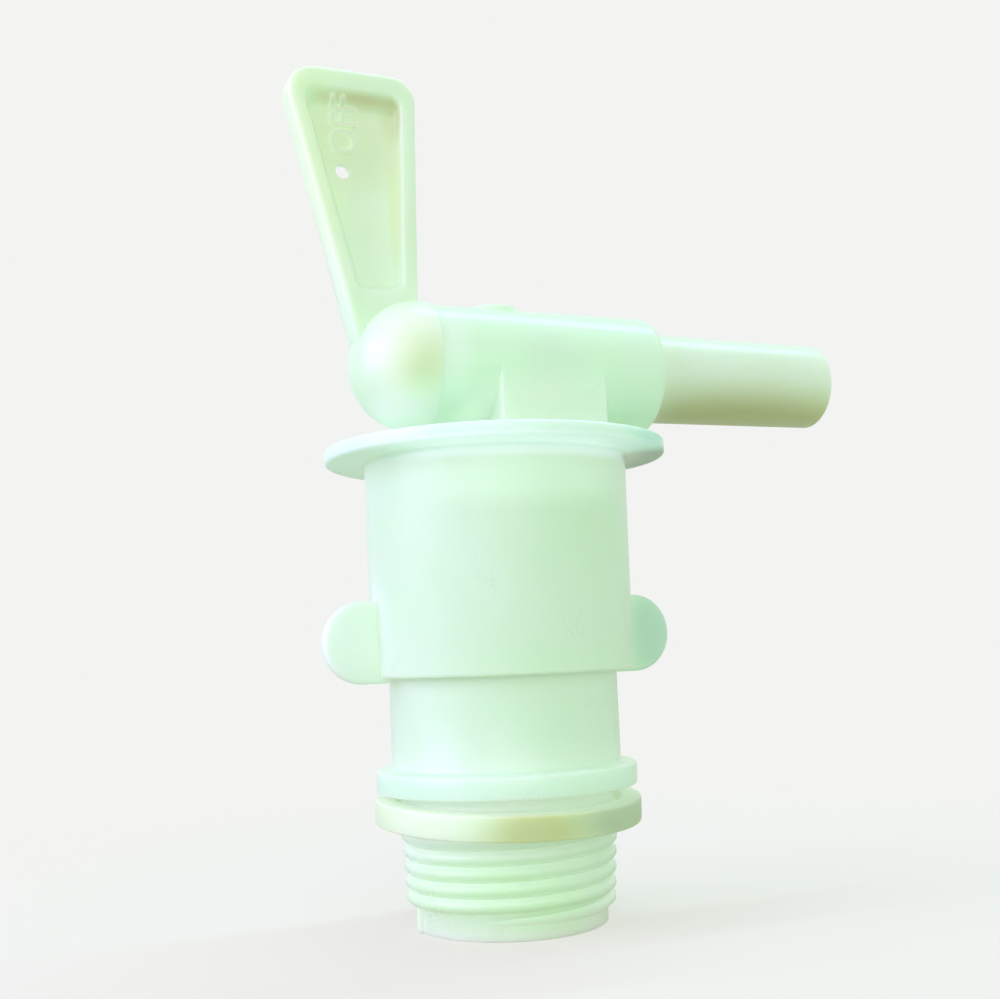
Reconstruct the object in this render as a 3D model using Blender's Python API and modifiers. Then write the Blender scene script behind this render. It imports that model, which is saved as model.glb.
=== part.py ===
# Bag in box tap: a moulded body with a pipe thread, a turning key with lever and spout, and a washer.
# Metres, +Z up. The origin is the centre of the inlet's open end, on the thread's axis.
# The barrel runs along X with the spout at +X, and the lever stands up at -X.

import math

import bmesh
import bpy
from mathutils import Vector

# Inlet: plain pilot end, then a tapered pipe thread up to the lower flange
PILOT_RADIUS = 0.01179
PILOT_EDGE_ROUND = 0.00015
INLET_HEIGHT = 0.01629
INLET_BORE_RADIUS = 0.0097
THREAD_START_HEIGHT = 0.0023
THREAD_ROOT_HEIGHT = 0.0032
THREAD_CREST_RADIUS_LOW = 0.01284
THREAD_CREST_RADIUS_HIGH = 0.01366
THREAD_DEPTH = 0.00075
THREAD_PITCH = 0.001814
THREAD_CREST_WIDTH = 0.0007
THREAD_SHOULDER_WIDTH = 0.00136
THREAD_SHOULDER_DROP = 0.00034
THREAD_BASE_WIDTH = 0.00177
THREAD_SINK = 0.0003
THREAD_FIRST_CREST_HEIGHT = 0.00275
THREAD_LAST_CREST_HEIGHT = 0.0151
THREAD_FIRST_CREST_ANGLE = math.radians(-28)
THREAD_LEAD_IN = math.radians(117)
THREAD_LEAD_OUT = math.radians(60)

# Fine ribs that the mould's halves leave on the pilot
PARTING_RIB_WIDTH = 0.0008
PARTING_RIB_REACH = 0.0006
PARTING_RIB_SINK = 0.0008

# Neck: lower flange, waist, wide drum and upper flange
LOWER_FLANGE_RADIUS = 0.01617
LOWER_FLANGE_THICKNESS = 0.0027
LOWER_FLANGE_ROUND = 0.0003
WAIST_RADIUS = 0.01427
WAIST_HEIGHT = 0.01129
DRUM_RADIUS_BOTTOM = 0.01642
DRUM_RADIUS_TOP = 0.01667
DRUM_HEIGHT = 0.02671
DRUM_EDGE_ROUND = 0.0004
UPPER_FLANGE_RADIUS = 0.02165
UPPER_FLANGE_THICKNESS = 0.00181
UPPER_FLANGE_ROUND = 0.0004
NECK_FILLET = 0.0005
NECK_WALL = 0.0020
LID_THICKNESS = 0.0020

# Ears on both sides of the drum
EAR_RADIUS = 0.0050
EAR_REACH = 0.02353
EAR_SHIFT = 0.00027
EAR_CENTRE_HEIGHT = 0.0347
EAR_THICKNESS = 0.0020
EAR_EDGE_ROUND = 0.0005
EAR_SINK = 0.0010

# Barrel along X, the block that carries it and the gate boss on top
BARREL_RADIUS = 0.0079
BARREL_END_X = 0.0219
BARREL_END_ROUND = 0.0010
BARREL_START_ROUND = 0.0003
PEDESTAL_CENTRE_X = 0.00535
PEDESTAL_LENGTH = 0.0147
PEDESTAL_DEPTH = 0.0152
PEDESTAL_CORNER_ROUND = 0.0005
PEDESTAL_SINK = 0.0008
BOSS_CENTRE_X = 0.0005
BOSS_RADIUS = 0.0031
BOSS_HEIGHT = 0.00065
BOSS_EDGE_HEIGHT = 0.0002
BOSS_SINK = 0.0009

# Key: domed head, tapered plug with a snap bead, and spout
HEAD_RADIUS = 0.00825
HEAD_CLEARANCE = 0.00196
HEAD_CENTRE_X = -0.0106
HEAD_BAND = 0.0011
HEAD_EDGE_ROUND = 0.00045
SEAM_GAP = 0.0003
PLUG_RADIUS_HEAD = 0.00635
PLUG_RADIUS_FAR = 0.00605
RUNNING_GAP = 0.0003
BEAD_CENTRE_X = 0.0172
BEAD_HEIGHT = 0.0005
BEAD_FLAT = 0.0006
BEAD_SLOPE = 0.0005
SPOUT_END_X = 0.04965
SPOUT_RADIUS_BARREL = 0.0060
SPOUT_RADIUS_TIP = 0.00585
SPOUT_TIP_ROUND = 0.0003
SPOUT_BORE_RADIUS_TIP = 0.0047
SPOUT_BORE_RADIUS_BLIND = 0.0044
SPOUT_BORE_BLIND_X = -0.0126

# Ports that line up when the key is turned to open
INLET_PORT_RADIUS = 0.0039
KEY_PORT_RADIUS = 0.0036

# Lever plate in the XZ plane: its edges at the key's axis and at its top
LEVER_LENGTH = 0.0373
LEVER_THICKNESS = 0.0042
LEVER_BACK_X_AXIS = -0.0178
LEVER_BACK_X_TOP = -0.0274
LEVER_FRONT_X_AXIS = -0.01037
LEVER_FRONT_X_TOP = -0.00975
LEVER_BACK_CORNER_ROUND = 0.0044
LEVER_FRONT_CORNER_ROUND = 0.0046
LEVER_EDGE_ROUND = 0.0007

# Sunk panel on both faces of the lever, and the hanging hole
PANEL_DEPTH = 0.0015
PANEL_SLOPE = 0.001
PANEL_TOP_SLOPE = 0.0024
PANEL_RIM_BACK = 0.0018
PANEL_RIM_FRONT = 0.0018
PANEL_RIM_TOP = 0.0025
PANEL_BOTTOM_HEIGHT = 0.0088
PANEL_CORNER_ROUND = 0.002
PANEL_FOOT_ROUND = 0.0022
HANGING_HOLE_RADIUS = 0.001
HANGING_HOLE_HEIGHT = 0.02448
HANGING_HOLE_INSET = 0.00484

# Loose washer on the thread, lying against one side of the lower flange
WASHER_RADIUS = 0.0165
WASHER_THICKNESS = 0.0030
WASHER_BORE_CLEARANCE = 0.0005
WASHER_SEAT_GAP = 0.0002
WASHER_EDGE_ROUND = 0.0003
WASHER_TILT = math.radians(2.6)
WASHER_ROLL = math.radians(0.66)

# How finely round forms are cut into flats, and how far a cutter runs past a face
NECK_STEPS = 48
BARREL_STEPS = 36
PORT_STEPS = 24
THREAD_STEPS = 28
CHORD_ERROR = 0.00004
OVERRUN = 0.0010
MERGE_DISTANCE = 0.000001

# Heights and places that follow
LOWER_FLANGE_TOP = INLET_HEIGHT + LOWER_FLANGE_THICKNESS
DRUM_BOTTOM = LOWER_FLANGE_TOP + WAIST_HEIGHT
DRUM_TOP = DRUM_BOTTOM + DRUM_HEIGHT
NECK_TOP = DRUM_TOP + UPPER_FLANGE_THICKNESS
CHAMBER_TOP = NECK_TOP - LID_THICKNESS
AXIS_HEIGHT = NECK_TOP + HEAD_CLEARANCE + HEAD_RADIUS
HEAD_END_X = HEAD_CENTRE_X + HEAD_BAND
BARREL_START_X = HEAD_END_X + SEAM_GAP
WASHER_BORE_RADIUS = THREAD_CREST_RADIUS_HIGH + WASHER_BORE_CLEARANCE
CORE_RADIUS_HIGH = THREAD_CREST_RADIUS_HIGH - THREAD_DEPTH

# Rotations that lay a shape's own axis along X, or its drawing plane in XZ
ALONG_X = (0, math.pi / 2, 0)
UPRIGHT = (math.pi / 2, 0, 0)


def clear_scene():
    for obj in list(bpy.data.objects):
        bpy.data.objects.remove(obj, do_unlink=True)


def new_collection(name):
    collection = bpy.data.collections.new(name)
    bpy.context.scene.collection.children.link(collection)
    return collection


def new_material(name, colour, roughness):
    material = bpy.data.materials.new(name)
    material.use_nodes = True
    shader = material.node_tree.nodes["Principled BSDF"]
    shader.inputs["Base Color"].default_value = (*colour, 1)
    shader.inputs["Roughness"].default_value = roughness
    shader.inputs["Metallic"].default_value = 0
    return material


def new_object(name, mesh, collection, place=(0, 0, 0), turn=(0, 0, 0)):
    mesh.shade_smooth()
    mesh.set_sharp_from_angle(angle=math.radians(30))
    obj = bpy.data.objects.new(name, mesh)
    collection.objects.link(obj)
    obj.location = place
    obj.rotation_euler = turn
    return obj


def rounded(corners, closed=False):
    # Corners (u, v, radius) become a line of points whose corners are arcs
    points = []
    for index, (u, v, radius) in enumerate(corners):
        corner = Vector((u, v))
        is_end = not closed and index in (0, len(corners) - 1)
        if is_end or radius == 0:
            points.append(corner)
            continue
        before = (Vector(corners[index - 1][:2]) - corner).normalized()
        after = (Vector(corners[(index + 1) % len(corners)][:2]) - corner).normalized()
        half = before.angle(after) / 2
        centre = corner + (before + after).normalized() * radius / math.sin(half)
        first = corner + before * radius / math.tan(half) - centre
        last = corner + after * radius / math.tan(half) - centre
        start = math.atan2(first.y, first.x)
        sweep = math.remainder(math.atan2(last.y, last.x) - start, math.tau)
        steps = math.ceil(abs(sweep) / (2 * math.acos(1 - CHORD_ERROR / radius)))
        for step in range(steps + 1):
            angle = start + sweep * step / steps
            points.append(centre + Vector((math.cos(angle), math.sin(angle))) * radius)
    return points


def turned(name, profile, steps, collection, place=(0, 0, 0), turn=(0, 0, 0)):
    # A profile of (radius, height) points, running down its outer side, turned about Z
    mesh = bpy.data.meshes.new(name)
    links = [(index, index + 1) for index in range(len(profile) - 1)]
    mesh.from_pydata([(radius, 0, height) for radius, height in profile], links, [])
    obj = new_object(name, mesh, collection, place, turn)
    screw = obj.modifiers.new("Turn", "SCREW")
    screw.axis = "Z"
    screw.angle = math.tau
    screw.steps = steps
    screw.render_steps = steps
    screw.use_merge_vertices = True
    screw.merge_threshold = MERGE_DISTANCE
    return obj


def slab(name, outline, half_thickness, collection, place=(0, 0, 0), turn=(0, 0, 0)):
    # A flat outline given thickness, made a mesh with its caps welded on
    curve = bpy.data.curves.new(name, "CURVE")
    curve.dimensions = "2D"
    curve.fill_mode = "BOTH"
    curve.extrude = half_thickness
    spline = curve.splines.new("POLY")
    spline.points.add(len(outline) - 1)
    for point, (u, v) in zip(spline.points, outline):
        point.co = (u, v, 0, 1)
    spline.use_cyclic_u = True
    drawing = bpy.data.objects.new(name + "_outline", curve)
    collection.objects.link(drawing)
    drawing.location = place
    drawing.rotation_euler = turn
    bpy.context.view_layer.update()
    evaluated = drawing.evaluated_get(bpy.context.evaluated_depsgraph_get())
    mesh = bpy.data.meshes.new_from_object(evaluated)
    mesh.name = name
    weld(mesh)
    obj = new_object(name, mesh, collection)
    obj.matrix_world = drawing.matrix_world
    bpy.data.objects.remove(drawing, do_unlink=True)
    bpy.data.curves.remove(curve)
    return obj


def weld(mesh):
    work = bmesh.new()
    work.from_mesh(mesh)
    bmesh.ops.remove_doubles(work, verts=work.verts, dist=MERGE_DISTANCE)
    bmesh.ops.recalc_face_normals(work, faces=work.faces)
    work.to_mesh(mesh)
    work.free()


def drilled(name, radius, length, collection, place, turn=(0, 0, 0)):
    # A round cutter or stub centred on its place
    work = bmesh.new()
    bmesh.ops.create_cone(
        work, cap_ends=True, segments=PORT_STEPS, radius1=radius, radius2=radius, depth=length
    )
    mesh = bpy.data.meshes.new(name)
    work.to_mesh(mesh)
    work.free()
    return new_object(name, mesh, collection, place, turn)


def round_edges(obj, width, segments):
    bevel = obj.modifiers.new("Round", "BEVEL")
    bevel.width = width
    bevel.segments = segments
    bevel.limit_method = "ANGLE"
    bevel.angle_limit = math.radians(50)


def combine(target, tool, operation):
    tool.hide_render = True
    tool.display_type = "WIRE"
    boolean = target.modifiers.new(tool.name, "BOOLEAN")
    boolean.operation = operation
    boolean.solver = "EXACT"
    boolean.object = tool


def join(target, tool):
    combine(target, tool, "UNION")


def cut(target, tool):
    combine(target, tool, "DIFFERENCE")


# Tap body

def radius_at(height, low, high):
    # A radius that grows evenly from the thread's start up to the lower flange
    share = (height - THREAD_START_HEIGHT) / (INLET_HEIGHT - THREAD_START_HEIGHT)
    return low + (high - low) * max(share, 0)


def neck_profile():
    crest_low, crest_high = THREAD_CREST_RADIUS_LOW, THREAD_CREST_RADIUS_HIGH
    waist_bore = WAIST_RADIUS - NECK_WALL
    drum_bore_bottom = DRUM_RADIUS_BOTTOM - NECK_WALL
    drum_bore_top = DRUM_RADIUS_TOP - NECK_WALL
    outside = [
        (0, NECK_TOP, 0),
        (UPPER_FLANGE_RADIUS, NECK_TOP, UPPER_FLANGE_ROUND),
        (UPPER_FLANGE_RADIUS, DRUM_TOP, UPPER_FLANGE_ROUND),
        (DRUM_RADIUS_TOP, DRUM_TOP, NECK_FILLET),
        (DRUM_RADIUS_BOTTOM, DRUM_BOTTOM, DRUM_EDGE_ROUND),
        (WAIST_RADIUS, DRUM_BOTTOM, NECK_FILLET),
        (WAIST_RADIUS, LOWER_FLANGE_TOP, NECK_FILLET),
        (LOWER_FLANGE_RADIUS, LOWER_FLANGE_TOP, LOWER_FLANGE_ROUND),
        (LOWER_FLANGE_RADIUS, INLET_HEIGHT, LOWER_FLANGE_ROUND),
        (CORE_RADIUS_HIGH, INLET_HEIGHT, 0),
        (radius_at(THREAD_ROOT_HEIGHT, crest_low, crest_high) - THREAD_DEPTH, THREAD_ROOT_HEIGHT, 0),
        (PILOT_RADIUS, THREAD_START_HEIGHT, 0),
        (PILOT_RADIUS, 0, PILOT_EDGE_ROUND),
    ]
    inside = [
        (INLET_BORE_RADIUS, 0, PILOT_EDGE_ROUND),
        (INLET_BORE_RADIUS, INLET_HEIGHT, 0),
        (waist_bore, INLET_HEIGHT + waist_bore - INLET_BORE_RADIUS, 0),
        (waist_bore, DRUM_BOTTOM, 0),
        (drum_bore_bottom, DRUM_BOTTOM + drum_bore_bottom - waist_bore, 0),
        (drum_bore_top, CHAMBER_TOP, NECK_FILLET),
        (0, CHAMBER_TOP, 0),
    ]
    return rounded(outside + inside)


def ear(side, cutters):
    # One side's flat tab: straight where it meets the drum, half round at its tip
    inner = DRUM_RADIUS_BOTTOM - EAR_SINK
    tip = side * EAR_REACH + EAR_SHIFT
    outline = [
        (side * inner, -EAR_RADIUS, 0),
        (tip, -EAR_RADIUS, EAR_RADIUS),
        (tip, EAR_RADIUS, EAR_RADIUS),
        (side * inner, EAR_RADIUS, 0),
    ]
    name = "ear_left" if side < 0 else "ear_right"
    place = (0, 0, EAR_CENTRE_HEIGHT)
    tab = slab(name, rounded(outline, closed=True), EAR_THICKNESS / 2, cutters, place, UPRIGHT)
    round_edges(tab, EAR_EDGE_ROUND, 2)
    return tab


def thread_ridge(cutters):
    # A right-hand ridge wound round the tapered core, rising out of it at the start and sinking at the end
    rise = THREAD_LAST_CREST_HEIGHT - THREAD_FIRST_CREST_HEIGHT
    sweep = math.tau * rise / THREAD_PITCH + THREAD_LEAD_IN
    steps = round(THREAD_STEPS * sweep / math.tau)
    widths = (THREAD_BASE_WIDTH, THREAD_SHOULDER_WIDTH, THREAD_CREST_WIDTH)
    work = bmesh.new()
    rings = []
    for step in range(steps + 1):
        wound = sweep * step / steps
        angle = THREAD_FIRST_CREST_ANGLE - THREAD_LEAD_IN + wound
        middle = THREAD_FIRST_CREST_HEIGHT + THREAD_PITCH * (wound - THREAD_LEAD_IN) / math.tau
        foot = radius_at(middle, PILOT_RADIUS, CORE_RADIUS_HIGH) - THREAD_SINK
        full = radius_at(middle, THREAD_CREST_RADIUS_LOW, THREAD_CREST_RADIUS_HIGH) - foot
        sunk_share = THREAD_SINK / 2 / full
        grown_share = min(wound / THREAD_LEAD_IN, (sweep - wound) / THREAD_LEAD_OUT, 1)
        shown_share = sunk_share + (1 - sunk_share) * grown_share
        tops = (0, (full - THREAD_SHOULDER_DROP) * shown_share, full * shown_share)
        corners = [(foot + top, middle - width / 2) for width, top in zip(widths, tops)]
        corners += [(foot + top, middle + width / 2) for width, top in zip(widths[::-1], tops[::-1])]
        across, along = math.cos(angle), math.sin(angle)
        rings.append([work.verts.new((reach * across, reach * along, height)) for reach, height in corners])
    for ring, following in zip(rings, rings[1:]):
        for index, vert in enumerate(ring):
            after = (index + 1) % len(ring)
            work.faces.new((vert, ring[after], following[after], following[index]))
    work.faces.new(rings[0])
    work.faces.new(rings[-1])
    bmesh.ops.triangulate(work, faces=work.faces)
    bmesh.ops.recalc_face_normals(work, faces=work.faces)
    mesh = bpy.data.meshes.new("thread")
    work.to_mesh(mesh)
    work.free()
    return new_object("thread", mesh, cutters)


def parting_rib(side, cutters):
    inner = PILOT_RADIUS - PARTING_RIB_SINK
    outer = PILOT_RADIUS + PARTING_RIB_REACH
    half = PARTING_RIB_WIDTH / 2
    outline = [(side * inner, -half), (side * outer, -half), (side * outer, half), (side * inner, half)]
    name = "rib_left" if side < 0 else "rib_right"
    height = THREAD_START_HEIGHT + THREAD_DEPTH
    return slab(name, outline, height / 2, cutters, (0, 0, height / 2))


def barrel(cutters):
    profile = [
        (0, BARREL_END_X, 0),
        (BARREL_RADIUS, BARREL_END_X, BARREL_END_ROUND),
        (BARREL_RADIUS, BARREL_START_X, BARREL_START_ROUND),
        (0, BARREL_START_X, 0),
    ]
    return turned("barrel", rounded(profile), BARREL_STEPS, cutters, (0, 0, AXIS_HEIGHT), ALONG_X)


def pedestal(cutters):
    half_length = PEDESTAL_LENGTH / 2
    half_depth = PEDESTAL_DEPTH / 2
    signs = ((-1, -1), (1, -1), (1, 1), (-1, 1))
    outline = [(sx * half_length, sy * half_depth, PEDESTAL_CORNER_ROUND) for sx, sy in signs]
    bottom = NECK_TOP - PEDESTAL_SINK
    place = (PEDESTAL_CENTRE_X, 0, (bottom + AXIS_HEIGHT) / 2)
    return slab("pedestal", rounded(outline, closed=True), (AXIS_HEIGHT - bottom) / 2, cutters, place)


def boss(cutters):
    # Shallow dome whose rim stands a little above the barrel's top
    crown = BOSS_HEIGHT - BOSS_EDGE_HEIGHT
    dome_radius = (BOSS_RADIUS**2 + crown**2) / (2 * crown)
    spread = math.asin(BOSS_RADIUS / dome_radius)
    profile = []
    rings = 5
    for ring in range(rings + 1):
        angle = spread * ring / rings
        profile.append((dome_radius * math.sin(angle), BOSS_HEIGHT - dome_radius * (1 - math.cos(angle))))
    profile += [(BOSS_RADIUS, -BOSS_SINK), (0, -BOSS_SINK)]
    place = (BOSS_CENTRE_X, 0, AXIS_HEIGHT + BARREL_RADIUS)
    return turned("boss", profile, PORT_STEPS, cutters, place)


def plug_radius_at(x):
    share = (x - HEAD_END_X) / (BARREL_END_X - HEAD_END_X)
    return PLUG_RADIUS_HEAD + (PLUG_RADIUS_FAR - PLUG_RADIUS_HEAD) * share


def beaded_line(growth):
    # The plug's side from its far end back to the head, with the snap bead on it, grown by a gap
    low = BEAD_CENTRE_X - BEAD_FLAT / 2
    high = BEAD_CENTRE_X + BEAD_FLAT / 2
    top = plug_radius_at(BEAD_CENTRE_X) + BEAD_HEIGHT + growth
    foot = BEAD_SLOPE + growth
    return [
        (plug_radius_at(high + foot) + growth, high + foot),
        (top, high + growth / 2),
        (top, low - growth / 2),
        (plug_radius_at(low - foot) + growth, low - foot),
    ]


def barrel_bore(cutters):
    profile = [
        (0, BARREL_END_X + OVERRUN),
        (plug_radius_at(BARREL_END_X + OVERRUN) + RUNNING_GAP, BARREL_END_X + OVERRUN),
        *beaded_line(RUNNING_GAP),
        (plug_radius_at(BARREL_START_X - OVERRUN) + RUNNING_GAP, BARREL_START_X - OVERRUN),
        (0, BARREL_START_X - OVERRUN),
    ]
    return turned("barrel_bore", profile, BARREL_STEPS, cutters, (0, 0, AXIS_HEIGHT), ALONG_X)


def inlet_port(cutters):
    low = CHAMBER_TOP - OVERRUN
    place = (PEDESTAL_CENTRE_X, 0, (low + AXIS_HEIGHT) / 2)
    return drilled("inlet_port", INLET_PORT_RADIUS, AXIS_HEIGHT - low, cutters, place)


def make_body(parts, cutters, material):
    body = turned("tap_body", neck_profile(), NECK_STEPS, parts)
    join(body, thread_ridge(cutters))
    for side in (-1, 1):
        join(body, ear(side, cutters))
        join(body, parting_rib(side, cutters))
    join(body, pedestal(cutters))
    join(body, barrel(cutters))
    join(body, boss(cutters))
    waterway = barrel_bore(cutters)
    join(waterway, inlet_port(cutters))
    cut(body, waterway)
    body.data.materials.append(material)


# Tap key

def key_profile():
    # From the spout's end down the outside to the crown of the dome
    outline = [
        (0, SPOUT_END_X, 0),
        (SPOUT_RADIUS_TIP, SPOUT_END_X, SPOUT_TIP_ROUND),
        (SPOUT_RADIUS_BARREL, BARREL_END_X, 0),
    ]
    profile = rounded(outline)
    profile += beaded_line(0)
    edge = [
        (PLUG_RADIUS_HEAD, HEAD_END_X, 0),
        (HEAD_RADIUS, HEAD_END_X, HEAD_EDGE_ROUND),
        (HEAD_RADIUS, HEAD_CENTRE_X, 0),
    ]
    profile += rounded(edge)[:-1]
    quarter = math.pi / 2
    rings = 12
    for ring in range(rings + 1):
        angle = quarter * ring / rings
        profile.append((HEAD_RADIUS * math.cos(angle), HEAD_CENTRE_X - HEAD_RADIUS * math.sin(angle)))
    return profile


def spout_bore(cutters):
    # Tapered core, open at the tip, with a round blind end inside the head
    round_start = SPOUT_BORE_BLIND_X + SPOUT_BORE_RADIUS_BLIND
    profile = [
        (0, SPOUT_END_X + OVERRUN),
        (SPOUT_BORE_RADIUS_TIP, SPOUT_END_X + OVERRUN),
    ]
    quarter = math.pi / 2
    rings = 5
    for ring in range(rings + 1):
        angle = quarter * ring / rings
        reach = SPOUT_BORE_RADIUS_BLIND
        profile.append((reach * math.cos(angle), round_start - reach * math.sin(angle)))
    return turned("spout_bore", profile, BARREL_STEPS, cutters, (0, 0, AXIS_HEIGHT), ALONG_X)


def lever_back(height):
    return LEVER_BACK_X_AXIS + (LEVER_BACK_X_TOP - LEVER_BACK_X_AXIS) * height / LEVER_LENGTH


def lever_front(height):
    return LEVER_FRONT_X_AXIS + (LEVER_FRONT_X_TOP - LEVER_FRONT_X_AXIS) * height / LEVER_LENGTH


def lever_plate(cutters):
    outline = [
        (LEVER_FRONT_X_AXIS, 0, 0),
        (LEVER_FRONT_X_TOP, LEVER_LENGTH, LEVER_FRONT_CORNER_ROUND),
        (LEVER_BACK_X_TOP, LEVER_LENGTH, LEVER_BACK_CORNER_ROUND),
        (LEVER_BACK_X_AXIS, 0, 0),
    ]
    half = LEVER_THICKNESS / 2
    plate = slab("lever", rounded(outline, closed=True), half, cutters, (0, 0, AXIS_HEIGHT), UPRIGHT)
    round_edges(plate, LEVER_EDGE_ROUND, 2)
    return plate


def panel_outline(inset):
    # The sunk panel follows the lever's own edges; inset is counted in from its mouth
    top = LEVER_LENGTH - PANEL_RIM_TOP - inset * PANEL_TOP_SLOPE / PANEL_SLOPE
    bottom = PANEL_BOTTOM_HEIGHT + inset
    back = PANEL_RIM_BACK + inset
    front = PANEL_RIM_FRONT + inset
    outline = [
        (lever_front(bottom) - front, bottom, PANEL_FOOT_ROUND),
        (lever_front(top) - front, top, PANEL_CORNER_ROUND),
        (lever_back(top) + back, top, PANEL_CORNER_ROUND),
        (lever_back(bottom) + back, bottom, PANEL_FOOT_ROUND),
    ]
    return rounded(outline, closed=True)


def panel_cutter(side, cutters):
    # A loft from the panel's floor, through its mouth at the lever's face, to clear of the plate
    grow = PANEL_SLOPE / PANEL_DEPTH
    face = LEVER_THICKNESS / 2
    levels = [(PANEL_SLOPE, face - PANEL_DEPTH), (-OVERRUN * grow, face + OVERRUN)]
    work = bmesh.new()
    rings = []
    for inset, height in levels:
        rings.append([work.verts.new((u, -side * height, v)) for u, v in panel_outline(inset)])
        work.faces.new(rings[-1])
    floor, mouth = rings
    for index in range(len(floor)):
        work.faces.new((floor[index - 1], floor[index], mouth[index], mouth[index - 1]))
    bmesh.ops.recalc_face_normals(work, faces=work.faces)
    name = "panel_front" if side > 0 else "panel_back"
    mesh = bpy.data.meshes.new(name)
    work.to_mesh(mesh)
    work.free()
    return new_object(name, mesh, cutters, (0, 0, AXIS_HEIGHT))


def hanging_hole(cutters):
    x = lever_back(HANGING_HOLE_HEIGHT) + HANGING_HOLE_INSET
    place = (x, 0, AXIS_HEIGHT + HANGING_HOLE_HEIGHT)
    length = LEVER_THICKNESS + 2 * OVERRUN
    return drilled("hanging_hole", HANGING_HOLE_RADIUS, length, cutters, place, UPRIGHT)


def key_port(cutters):
    # Opens the plug's wall on the side away from the inlet port while the tap is shut
    length = PLUG_RADIUS_HEAD + OVERRUN
    place = (PEDESTAL_CENTRE_X, -length / 2, AXIS_HEIGHT)
    return drilled("key_port", KEY_PORT_RADIUS, length, cutters, place, UPRIGHT)


def make_key(parts, cutters, material):
    key = turned("tap_key", key_profile(), BARREL_STEPS, parts, (0, 0, AXIS_HEIGHT), ALONG_X)
    join(key, lever_plate(cutters))
    for side in (1, -1):
        cut(key, panel_cutter(side, cutters))
    cut(key, hanging_hole(cutters))
    waterway = spout_bore(cutters)
    join(waterway, key_port(cutters))
    cut(key, waterway)
    key.data.materials.append(material)


# Washer

def make_washer(parts, material):
    half = WASHER_THICKNESS / 2
    ring = [
        (WASHER_BORE_RADIUS, half, WASHER_EDGE_ROUND),
        (WASHER_RADIUS, half, WASHER_EDGE_ROUND),
        (WASHER_RADIUS, -half, WASHER_EDGE_ROUND),
        (WASHER_BORE_RADIUS, -half, WASHER_EDGE_ROUND),
    ]
    profile = rounded(ring, closed=True)
    lean = math.acos(math.cos(WASHER_TILT) * math.cos(WASHER_ROLL))
    rise = half * math.cos(lean) + WASHER_RADIUS * math.sin(lean)
    place = (0, 0, INLET_HEIGHT - WASHER_SEAT_GAP - rise)
    turn = (WASHER_TILT, WASHER_ROLL, 0)
    washer = turned("sealing_washer", profile + profile[:1], NECK_STEPS, parts, place, turn)
    washer.data.materials.append(material)


def main():
    clear_scene()
    parts = new_collection("bag_in_box_tap")
    cutters = new_collection("tap_cutters")
    make_body(parts, cutters, new_material("mint_plastic", (0.66, 0.85, 0.68), 0.4))
    make_key(parts, cutters, new_material("cream_plastic", (0.80, 0.88, 0.66), 0.4))
    make_washer(parts, new_material("washer_plastic", (0.72, 0.79, 0.52), 0.5))


main()
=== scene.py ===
import math

import bmesh
import bpy
from mathutils import Matrix, Vector


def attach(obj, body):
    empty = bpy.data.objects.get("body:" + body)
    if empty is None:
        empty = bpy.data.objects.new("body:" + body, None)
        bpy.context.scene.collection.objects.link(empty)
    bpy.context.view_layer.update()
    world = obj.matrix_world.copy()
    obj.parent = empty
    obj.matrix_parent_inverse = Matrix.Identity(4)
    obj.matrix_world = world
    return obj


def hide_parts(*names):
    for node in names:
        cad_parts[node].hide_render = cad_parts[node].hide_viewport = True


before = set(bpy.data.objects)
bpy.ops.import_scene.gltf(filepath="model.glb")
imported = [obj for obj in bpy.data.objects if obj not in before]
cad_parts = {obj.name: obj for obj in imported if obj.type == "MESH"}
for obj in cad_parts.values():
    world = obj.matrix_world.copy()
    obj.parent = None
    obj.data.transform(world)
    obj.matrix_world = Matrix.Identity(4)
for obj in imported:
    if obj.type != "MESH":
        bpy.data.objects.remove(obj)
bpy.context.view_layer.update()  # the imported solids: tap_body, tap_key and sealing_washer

mm = 0.001
fullTurn = math.tau
smoothBelow = 34  # degrees: edges that turn less than this are shaded smooth
closeTo = 0.01 * mm  # how close a corner has to lie to be picked
snug = 0.004 * mm  # the same among the close rings of a round solid
fine = 0.002 * mm  # and among the steps of the lever's panel


def clearSelection():
    if bpy.context.mode != "OBJECT":
        bpy.ops.object.mode_set(mode="OBJECT")
    bpy.ops.object.select_all(action="DESELECT")


def openPiece(piece):
    clearSelection()
    bpy.context.view_layer.objects.active = piece
    piece.select_set(True)
    bpy.ops.object.mode_set(mode="EDIT")
    bpy.ops.mesh.select_all(action="DESELECT")


def closePiece():
    bpy.ops.object.mode_set(mode="OBJECT")


def pick(piece, kind, rule):
    # selects what lies where the rule says; edges and faces are asked by their corners
    bpy.ops.mesh.select_mode(type=kind)
    bpy.ops.mesh.select_all(action="DESELECT")
    mesh = bmesh.from_edit_mesh(piece.data)
    parts = {"VERT": mesh.verts, "EDGE": mesh.edges, "FACE": mesh.faces}[kind]
    for part in parts:
        corners = [part.co] if kind == "VERT" else [vert.co for vert in part.verts]
        if all(rule(corner) for corner in corners):
            part.select_set(True)
    mesh.select_flush_mode()
    bmesh.update_edit_mesh(piece.data)


def nameNew(name):
    piece = bpy.context.object
    piece.name = piece.data.name = name
    bpy.ops.object.transform_apply(location=True, rotation=True, scale=True)
    return piece


def roundEdges(width, steps=4, shape=0.5):
    bpy.ops.mesh.bevel(offset=width, segments=steps, profile=shape, affect="EDGES")


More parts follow.
